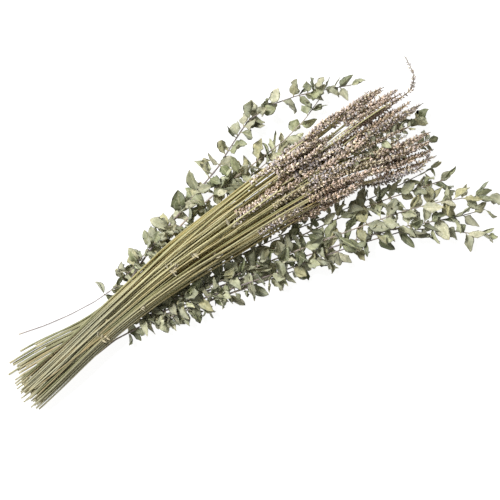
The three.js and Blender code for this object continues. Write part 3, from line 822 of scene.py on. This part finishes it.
def makeMoreLavender():
    places = [(k + 0.5, layer) for layer in moreStems["layers"] for k in range(lavender["laneCount"] - 1)]
    places += [(lane, layer) for lane in moreStems["edgeLanes"] for layer in moreStems["edgeLayers"]]
    top = moreStems["topStems"]
    places += [(0.8 + k * 6.6 / (top - 1), moreStems["topLayer"]) for k in range(top)]
    places += [entry[:2] for entry in moreStems["between"]]
    bare = [(k + side, layer) for k in range(lavender["laneCount"])
            for side, layer in zip(moreStems["bareSides"], moreStems["bareLayers"])]
    places += bare
    for made, (lane, layer) in enumerate(places):
        seed = moreStems["firstSeed"] + 37 * made
        rng = np.random.default_rng(seed)
        start = rng.uniform(moreStems["firstHead"], moreStems["lastHead"])
        if layer > 4:
            start = rng.uniform(*moreStems["topHeads"])
        if lane < 0:
            start = rng.uniform(*moreStems["rightEdgeHeads"])
        if lane > 8:
            start = rng.uniform(*moreStems["leftEdgeHeads"])
        if layer == moreStems["layers"][-1] and int(lane) in moreStems["firstHeads"]:
            start = moreStems["firstHeads"][int(lane)]
        tip = start + moreStems["spike"] * rng.uniform(0.75, 1.1)
        butt = lavender["buttX"] + rng.uniform(*moreStems["butts"])
        drift = rng.normal(0, 1.1) if layer > 4 else rng.uniform(-0.9, 0.9) * (0 < lane < 8)
        if layer > 4:
            drift = min(max(drift, -0.4 - lane), 8.4 - lane)
        tint = tintAt(start, stalkPlace(lane, layer, start, seed)[1], rng)
        splay = rng.normal(0, 1.3) if layer > 4 else rng.normal(0, 0.9) if layer < 1 else 0.0
        part, girth = None, 1.0
        for entry in moreStems["between"]:
            if (lane, layer) == entry[:2]:
                start, part, tint, drift, girth = *entry[2:], 0.0, 0.85
                tip = start + moreStems["betweenSpike"]
        if (lane, layer) in bare:
            start = rng.uniform(*moreStems["bareEnds"])
            tip, butt = start + 12, butt + 30 * rng.random()
            girth, drift = 0.0, 0.2 * drift
        maker, line, rng = lavenderStem(lane, layer, seed, start, tip, butt, None, girth, tint, drift,
                                        rng.uniform(0, 1.5) if layer > 4 else 0, part, splay)
        if layer == moreStems["layers"][-1]:
            for x, tuftLane in tuft["places"]:
                if abs(tuftLane - lane) < 0.5:
                    addTuft(maker, line, x, rng)
        maker.finish("lavenderExtra.%02d" % (made + 1), [stalkLook, calyxLook], None, "lavender")
    return len(places)


print("stems with a solid:", makeLavender())
print("stems between them:", makeMoreLavender())


# Eucalyptus: the same branches and leaves as the solids, and more leaves of the same kind between them.
eucalyptusLook = {
    "leafTints": [shade(163, 165, 138), shade(177, 178, 154), shade(143, 147, 116), shade(191, 188, 166),
                  shade(113, 119, 88), shade(172, 168, 134), shade(169, 169, 147)],
    "twigTints": [shade(150, 142, 142), shade(150, 134, 114), shade(172, 164, 156)],
    "ownClearance": 1.35,
    "ownRoom": 2,
    "tries": 14,
    # the leaves between them stand a little higher, and may sit just inside the lavender's outline
    "moreClearance": 0.55,
    "moreRoom": -0.4,
    "moreTries": 10,
    "raised": 0.8,
    "moreSpacing": 12,
    "denseX": 120,
    "besideX": 190,
    "gapShare": 0.36,
    "gapLength": 23,
    "denseSpacing": 7.5,
    "longer": (1.0, 1.5),
    "wider": (0.9, 1.4),
    "tipGrowth": 0.6,
    "shades": (0.7, 1.5),
    "twigOutline": [1.0, 0.94] * 4,
    # by branch, counted from 0: those under the heads, those beside them, and where one grows dense again
    "hidden": (3, 4, 5, 6),
    "beside": (7, 8),
    "denseFrom": {1: 190, 2: 0},
}

# how a leaf stands to its twig, in degrees: each sways by its first number, and by the second as the
# tries run out
leafLie = {"sweep": 58, "tipSweep": 30, "sweepSway": (14, 20), "liftSway": (26, 30), "rollSway": (38, 30)}

waistTwigs = 11
# each branch: its way, where its leaves begin, the leaves' length, their width as a share of it, girth
branches = [
    {"loose": True, "from": 27, "leaf": 12, "width": 0.72, "girth": 0.42,
     "fan": [(-69, 30, 1.2), (-50, 25, 1.4), (-30, 21, 1.8), (0, 17.5, 3.5), (27, 17, 7), (50, 23, 10),
             (78, 31, 13), (104, 36, 14)]},
    {"from": 50, "leaf": 15, "width": 0.72, "girth": 1,
     "fan": [(46, 17, 5), (80, 31, 8), (115, 42, 11), (150, 53, 12), (176, 61, 12), (200, 74, 13),
             (222, 80, 13), (246, 78, 13), (270, 71, 12), (290, 63, 12), (309, 55, 12)]},
    {"from": 50, "leaf": 15, "width": 0.6, "girth": 0.9,
     "fan": [(60, 14, 5.5), (100, 30, 10), (150, 39, 14), (190, 43, 13), (225, 45, 11), (250, 50, 10),
             (266, 54, 10), (281, 61, 10)]},
    {"from": 60, "leaf": 17, "width": 0.62, "girth": 0.9,
     "fan": [(62, 10, 3), (110, 21, 4.5), (160, 31, 6), (200, 37, 7), (236, 41, 8)]},
    {"from": 70, "leaf": 14, "width": 0.65, "girth": 0.9,
     "fan": [(70, 3, 5), (140, 6, 5), (200, 7, 5), (270, 5, 4), (318, 3, 3.5), (346, -3, 3.5)]},
    {"from": 90, "leaf": 13, "width": 0.62, "girth": 0.9,
     "fan": [(80, -5, 4), (140, -8, 4.5), (200, -10, 5), (270, -14, 4), (310, -18.5, 3.5),
             (342, -25, 3.5)]},
    {"from": 120, "leaf": 12, "width": 0.42, "girth": 0.7,
     "fan": [(90, -14, 5.5), (160, -22, 6), (215, -31, 7), (252, -38, 7.5), (280, -43, 8), (305, -46, 8),
             (331, -48.5, 8)]},
    {"from": 60, "leaf": 17, "width": 0.5, "girth": 0.9,
     "fan": [(75, -17, 4), (140, -27, 6.5), (200, -35.5, 9), (250, -43, 12), (278, -49, 13), (305, -56, 13),
             (333, -63, 12)]},
    {"from": 42, "leaf": 18, "width": 0.55, "girth": 1,
     "fan": [(66, -20, 6.5), (130, -33, 12), (190, -45, 15), (240, -56, 16), (290, -68, 16), (325, -80, 15),
             (358, -97, 13)]},
    {"from": 38, "leaf": 18, "width": 0.62, "girth": 1,
     "fan": [(58, -21, 4), (118, -35.5, 7), (175, -49, 9), (225, -62, 10), (280, -79, 11), (320, -96, 11),
             (350, -106, 10)]},
    {"from": 36, "leaf": 16, "width": 0.55, "girth": 0.8,
     "fan": [(56, -25, 8), (118, -41, 13), (180, -56, 13), (240, -71, 10), (290, -88, 7), (314, -104, 5),
             (327, -118, 4), (341, -128, 4)]},
    {"from": 32, "leaf": 16, "width": 0.55, "girth": 0.8,
     "fan": [(44, -24.5, 3.5), (84, -36, 6), (120, -45, 7), (152, -53, 7), (180, -60, 7), (205, -67, 6)]},
    {"loose": True, "from": 26, "leaf": 12, "width": 0.6, "girth": 0.8,
     "fan": [(-50, -28.5, 1.6), (-22, -24.5, 1.8), (4, -22.3, 2.4), (24, -23.6, 5), (50, -31, 8),
             (78, -36.5, 10), (106, -42, 11), (132, -49, 10)]},
]

# the fans are drawn round spikes this wide, and open further round wider ones
fanSpike = 7.2
fanOpening = [(headsX, 1), (lavender["splitX"], lavender["spikeDiameter"] / fanSpike)]


def throughBand(n):
    across = (waistTwigs - 1) / 2 - (n - 1)
    room = (lavender["laneCount"] - 1) * level(sheaf["lanePitch"], band["x"])
    y = (level(sheaf["middle"], band["x"]) + level(sheaf["underShift"], band["x"])
         + across * room * 0.95 / (waistTwigs - 1))
    z = rowHigh if (n - 1) % 2 else rowLow
    return [(twigs["cutX"] + 9 * chance(n + 0.8), y, z), (band["x"] - 6, y, z), (band["x"] + 6, y, z)]


# what is in place already, as balls in a grid of cells this wide, so that a leaf can feel for room
cellSize = 5
filled = {}


def cellOf(point):
    return tuple(math.floor(v / cellSize) for v in point)


def fill(point, radius, owner):
    filled.setdefault(cellOf(point), []).append((point, radius, owner))


def isFree(point, radius, owner, leavesOnly=False):
    ci, cj, ck = cellOf(point)
    for i in (ci - 1, ci, ci + 1):
        for j in (cj - 1, cj, cj + 1):
            for k in (ck - 1, ck, ck + 1):
                for other, otherRadius, otherOwner in filled.get((i, j, k), ()):
                    if leavesOnly and otherOwner is not None:
                        continue
                    if otherOwner != owner and math.dist(other, point) < otherRadius + radius:
                        return False
    return True


def inLavender(point, room):
    x, y, z = point
    if x < lavender["buttX"] or x > tipsX + 4:
        return False
    aside = y - level(sheaf["middle"], x)
    half = (halfLanes * level(sheaf["lanePitch"], x) + level(sheaf["wander"], x)
            + (1 if aside < 0 else lavender["leftShare"]) * level(sheaf["parting"], x))
    thick = stalkRadius if x < headsX - 10 else lavender["spikeDiameter"] / 2
    share = abs(aside) / half
    if share > 1 + (thick + room) / half:
        return False
    return z > (level(sheaf["underside"], x) + stalkRadius - thick
                - level(sheaf["droop"], x) * min(1, share) ** 2 - room)


# where a leaf feels for room, as shares of its length and of half its width
feelers = [(0.28, 0.8), (0.28, -0.8), (0.3, 0), (0.48, 1), (0.48, -1), (0.5, 0), (0.68, 0.9), (0.68, -0.9),
           (0.7, 0), (0.86, 0.55), (0.86, -0.55), (0.88, 0), (1, 0)]


def tipwards(branch, share):
    return max(0, (share - branch["leafShare"]) / (1 - branch["leafShare"]))


def leafTry(branch, share, side, seed, attempt, freer=1.0):
    loose = attempt / eucalyptusLook["tries"]
    at = share * (len(branch["spine"]) - 1)
    k = min(int(at), len(branch["spine"]) - 2)
    low, high = branch["spine"][k], branch["spine"][k + 1]
    base = mix(low, high, at - k)
    forward = unit(high - low)
    left = unit(np.cross([0, 0, 1], forward))
    up = np.cross(forward, left)
    near = tipwards(branch, share)
    ways = [sway(seed + 7.31 * attempt + n) for n in (0.1, 0.2, 0.3)]
    aside, lift, roll = (way * (leafLie[key][0] + leafLie[key][1] * loose)
                         for way, key in zip(ways, ("sweepSway", "liftSway", "rollSway")))
    aside = math.radians(leafLie["sweep"] + freer * aside - leafLie["tipSweep"] * near ** 4)
    lift, roll = math.radians(lift), math.radians(roll)
    outward = forward * math.cos(aside) + left * side * math.sin(aside)
    along = unit(outward * math.cos(lift) + up * math.sin(lift))
    flat = unit(up - along * np.dot(up, along))
    across = np.cross(along, flat) * math.cos(roll) + flat * math.sin(roll)
    length = branch["leaf"] * (0.86 + 0.2 * chance(seed + 0.7)) * (1 - 0.12 * loose) * (1 - 0.5 * near ** 2)
    return base, along, across, length, length * branch["width"] * (0.9 + 0.2 * chance(seed + 0.9)) / 2


# the first lie that leaves the leaf clear of everything; a raised leaf may stand more freely
def growLeaf(branch, share, side, seed, clearance, room, tries, raised=0.0):
    first, freer = (6, 1.9) if raised else (0, 1.0)
    for attempt in range(first, first + tries):
        base, along, across, length, half = leafTry(branch, share, side, seed, attempt, freer)
        base = base + np.array([0, 0, raised])
        points = [base + along * length * a + across * half * b for a, b in feelers]
        if all(p[2] > clearance and not inLavender(p, room)
               and isFree(p, clearance, branch["owner"], raised > 0) for p in points):
            for p in points:
                fill(p, clearance, None)
            grown = 1 + eucalyptusLook["tipGrowth"] * tipwards(branch, share) ** 2
            return base, along, across, length * grown, half * grown
    return None


# A leaf's rings stand along it, from its stem to its point, and each goes round from edge to edge. The
# angles are in degrees, and how far a leaf folds, curls and twists comes by chance.
leafShape = {
    "rows": [0, 0.07, 0.13, 0.2, 0.3, 0.42, 0.55, 0.68, 0.8, 0.9, 0.97, 1],
    "widths": [0.09, 0.08, 0.18, 0.6, 0.9, 1.0, 0.98, 0.87, 0.67, 0.41, 0.17, 0.03],
    "across": [-1, -0.68, -0.34, 0, 0.34, 0.68, 1, 0.68, 0.34, 0, -0.34, -0.68],
    "thickness": 0.3,
    "fold": 42,
    "curl": 60,
    "wave": 0.42,
    "twist": 32,
    "turned": 15,
    "crumple": 0.13,
    "sharper": (0.8, 1.5),
    "stem": 0.15,
    "lowest": 0.35,
}


def addLeaf(maker, leaf, rng):
    tint = oneOf(eucalyptusLook["leafTints"], rng)
    base, along, across, length, half = leaf
    length *= rng.uniform(*eucalyptusLook["longer"])
    half *= rng.uniform(*eucalyptusLook["wider"])
    look = leafShape
    turned = math.radians(rng.normal(0, look["turned"]))
    along, across = (along * math.cos(turned) + across * math.sin(turned),
                     across * math.cos(turned) - along * math.sin(turned))
    face = unit(np.cross(along, across))
    fold = math.radians(abs(rng.normal(0, look["fold"])) + 6) * (1 if face[2] > 0 else -1)
    if rng.random() < 0.25:
        fold = -fold
    curl, twist = (math.radians(rng.normal(0, look[key])) for key in ("curl", "twist"))
    phase, waves = rng.uniform(0, 6.3), rng.uniform(4, 8)
    middle = np.array(base, float)
    count = len(look["across"])
    top = count // 2
    rows, before = [], 0.0
    dents = rng.normal(0, look["crumple"] * half, (len(look["rows"]), top + 1))
    sharper = rng.uniform(*look["sharper"])
    for row, (share, wide) in enumerate(zip(look["rows"], look["widths"])):
        if share > 0.45:
            wide = wide ** sharper
        bend = curl * (share - 0.4)
        direction = along * math.cos(bend) + face * math.sin(bend)
        middle = middle + direction * length * (share - before)
        before = share
        normal = face * math.cos(bend) - along * math.sin(bend)
        turn = twist * share
        a = across * math.cos(turn) + normal * math.sin(turn)
        n = normal * math.cos(turn) - across * math.sin(turn)
        ring = []
        for k, u in enumerate(look["across"]):
            reach = half * wide * u
            thick = look["thickness"] * (1 - abs(u) ** 3) / 2
            dent = dents[row, min(k, count - k)] * wide
            if wide < look["stem"]:
                thick, dent = 1.2 * half * wide * math.sqrt(max(0.0, 1 - u * u)), 0.0
            ripple = look["wave"] * abs(reach * u) * math.sin(share * waves + phase + (2 if u > 0 else 0))
            height = abs(reach) * math.sin(fold) + ripple + dent - (thick if k < top else -thick)
            ring.append(middle + a * (reach * math.cos(fold) + 0.6 * dent * abs(u)) + n * height)
        rows.append(ring)
    points = np.array(rows)
    points[:, :, 2] = np.maximum(points[:, :, 2], look["lowest"])
    shades = tint * rng.uniform(*eucalyptusLook["shades"])
    colors = shades * (1 + rng.normal(0, 0.05, (*points.shape[:2], 1)))
    colors[-2:] *= np.array([0.95, 0.85, 0.75])
    colors[:2] = eucalyptusLook["twigTints"][1] * 0.9 + shades * 0.3
    maker.tube(points, colors, (length, 1), leafSlot)


def layBranch(n, branch):
    fan = [(x, y * level(fanOpening, x), z) for x, y, z in branch["fan"]]
    route = Route(fan if branch.get("loose") else throughBand(n) + fan)
    branch["route"], branch["owner"], branch["leaves"] = route, n, []
    branch["radius"] = twigs["diameter"] / 2 * branch["girth"]
    share = 0.0
    while route.at(share)[0] < branch["from"]:
        share += 0.002
    branch["leafShare"] = share
    branch["spine"] = route.spaced(round(route.length / twigs["step"]))
    run = 0.0
    while run <= route.length:
        fill(route.at(run / route.length), branch["radius"] + 0.2, n)
        run += 2


# the leaves that the solid has too
def growOwnLeaves(n, branch):
    count = round(branch["route"].length * (1 - branch["leafShare"]) / twigs["leafSpacing"])
    for k in range(count):
        share = branch["leafShare"] + (1 - branch["leafShare"]) * k / (count - 1)
        branch["leaves"].append(growLeaf(branch, share * 0.998, 1 if k % 2 else -1, 100 * n + k,
                                         eucalyptusLook["ownClearance"], eucalyptusLook["ownRoom"],
                                         eucalyptusLook["tries"]))


# pairs of leaves between them, with some bare lengths away from the stalks
def growMoreLeaves(n, branch):
    route, look = branch["route"], eucalyptusLook
    run = branch["leafShare"] * route.length - 10
    while run < route.length - 2:
        x = route.at(run / route.length)[0]
        hidden = n in look["hidden"]
        denseTo = look["besideX" if n in look["beside"] else "denseX"]
        bare = not hidden and x > denseTo and chance(31 * n + run // look["gapLength"]) < look["gapShare"]
        for side in () if bare else (-1, 1):
            branch["leaves"].append(growLeaf(branch, run / route.length, side, 9000 + 100 * n + run + side,
                                             look["moreClearance"], look["moreRoom"], look["moreTries"],
                                             look["raised"]))
        dense = hidden or x < denseTo or x > look["denseFrom"].get(n, math.inf)
        run += look["denseSpacing" if dense else "moreSpacing"] * (0.7 + 0.6 * chance(n + run))


def makeBranch(n, branch):
    rng = np.random.default_rng(300 + n)
    maker = MeshMaker()
    count = round(branch["route"].length / twigs["ringEvery"])
    thin = min(twigs["tipDiameter"] / 2, branch["radius"])
    shares = np.linspace(0, 1, count + 1)
    # the visible twig keeps to the straight lengths of the solid's twig, so the leaves sit on it
    spine = branch["spine"]
    line = [np.array([np.interp(s * (len(spine) - 1), range(len(spine)), spine[:, k]) for k in range(3)])
            for s in shares]
    radii = [mix(branch["radius"], thin, s) for s in shares]
    radii[::3] = [radius * twigs["knot"] for radius in radii[::3]]
    points = sweep(line, radii, eucalyptusLook["twigOutline"], twist=rng.uniform(0, 6))
    twigTints = eucalyptusLook["twigTints"]
    tint = twigTints[0] if n == 0 else oneOf(twigTints, rng)
    colors = np.broadcast_to(tint * rng.uniform(0.85, 1.1), points.shape).copy()
    colors[0] = shade(206, 196, 168)
    maker.tube(points, colors, (twigs["ringEvery"] * count, 6.5), sections=8)
    for leaf in branch["leaves"]:
        addLeaf(maker, leaf, rng)
    maker.finish("eucalyptusBranch.%02d" % (n + 1), [twigLook, leafLook],
                 "eucalyptus_branch_%02d" % (n + 1), "eucalyptus")


def makeBranches():
    counts = []
    for step in (layBranch, growOwnLeaves, growMoreLeaves):
        for n, branch in enumerate(branches):
            step(n, branch)
            branch["leaves"] = [leaf for leaf in branch["leaves"] if leaf]
        counts.append(sum(len(branch["leaves"]) for branch in branches))
    print("leaves:", counts[1], "and more:", counts[2] - counts[1])
    for n, branch in enumerate(branches):
        makeBranch(n, branch)


makeBranches()

# a short sprig between the two clusters of heads
sprig = {"way": [(238, 1, 22), (262, -0.5, 29), (285, -2, 34), (306, -3.5, 36), (328, -6, 35)], "leaf": 12,
         "width": 0.62, "girth": 0.55, "spacing": 6.5, "leafShare": 0.25, "steps": 8}


def makeSprig():
    route = Route(sprig["way"])
    branch = {**sprig, "spine": route.spaced(sprig["steps"])}
    rng = np.random.default_rng(77)
    maker = MeshMaker()
    radii = np.linspace(twigs["diameter"] / 2 * sprig["girth"], 0.3, sprig["steps"] + 1)
    points = sweep(branch["spine"], radii, eucalyptusLook["twigOutline"])
    maker.tube(points, eucalyptusLook["twigTints"][1], (route.length, 4))
    count = round((1 - sprig["leafShare"]) * route.length / sprig["spacing"])
    for k in range(count):
        for side in (-1, 1):
            share = sprig["leafShare"] + 0.74 * k / (count - 1)
            addLeaf(maker, leafTry(branch, share, side, 700 + 2 * k + side, 3), rng)
    maker.finish("eucalyptusSprig", [twigLook, leafLook], None, "eucalyptus")


makeSprig()
print("sprig made")

# The table, and soft light from the upper left of the camera's view.
studio = {"floor": (0.3, 0.3, 0.3), "floorGlow": 0.9, "world": 0.27, "key": 34.0,
          "keyPlace": (-0.3, 1.0, 1.35), "keySize": 0.5}


def makeStudio():
    mesh = bpy.data.meshes.new("tableTop")
    mesh.from_pydata([(-3, -3, 0), (3, -3, 0), (3, 3, 0), (-3, 3, 0)], [], [(0, 1, 2, 3)])
    ob = bpy.data.objects.new("tableTop", mesh)
    n = Nodes("whiteTable", 0.9)
    n.color(n.blend(n.ramp(n.cloud(6.0, 3.0), 0.3, 0.7), studio["floor"],
                    tuple(0.99 * v for v in studio["floor"])))
    n.shader.inputs["Emission Color"].default_value = (1, 1, 1, 1)
    n.shader.inputs["Emission Strength"].default_value = studio["floorGlow"]
    mesh.materials.append(n.material)
    bpy.context.scene.collection.objects.link(ob)
    world = bpy.data.worlds.new("softWorld")
    world.use_nodes = True
    world.node_tree.nodes["Background"].inputs["Color"].default_value = (1, 1, 1, 1)
    world.node_tree.nodes["Background"].inputs["Strength"].default_value = studio["world"]
    bpy.context.scene.world = world
    light = bpy.data.lights.new("softKey", "AREA")
    light.energy, light.size = studio["key"], studio["keySize"]
    lamp = bpy.data.objects.new("softKey", light)
    lamp.location = studio["keyPlace"]
    lamp.rotation_euler = (-Vector(studio["keyPlace"])).to_track_quat("-Z", "Y").to_euler()
    bpy.context.scene.collection.objects.link(lamp)
    bpy.context.scene.view_settings.view_transform = "Standard"


makeStudio()
print("table and light made")
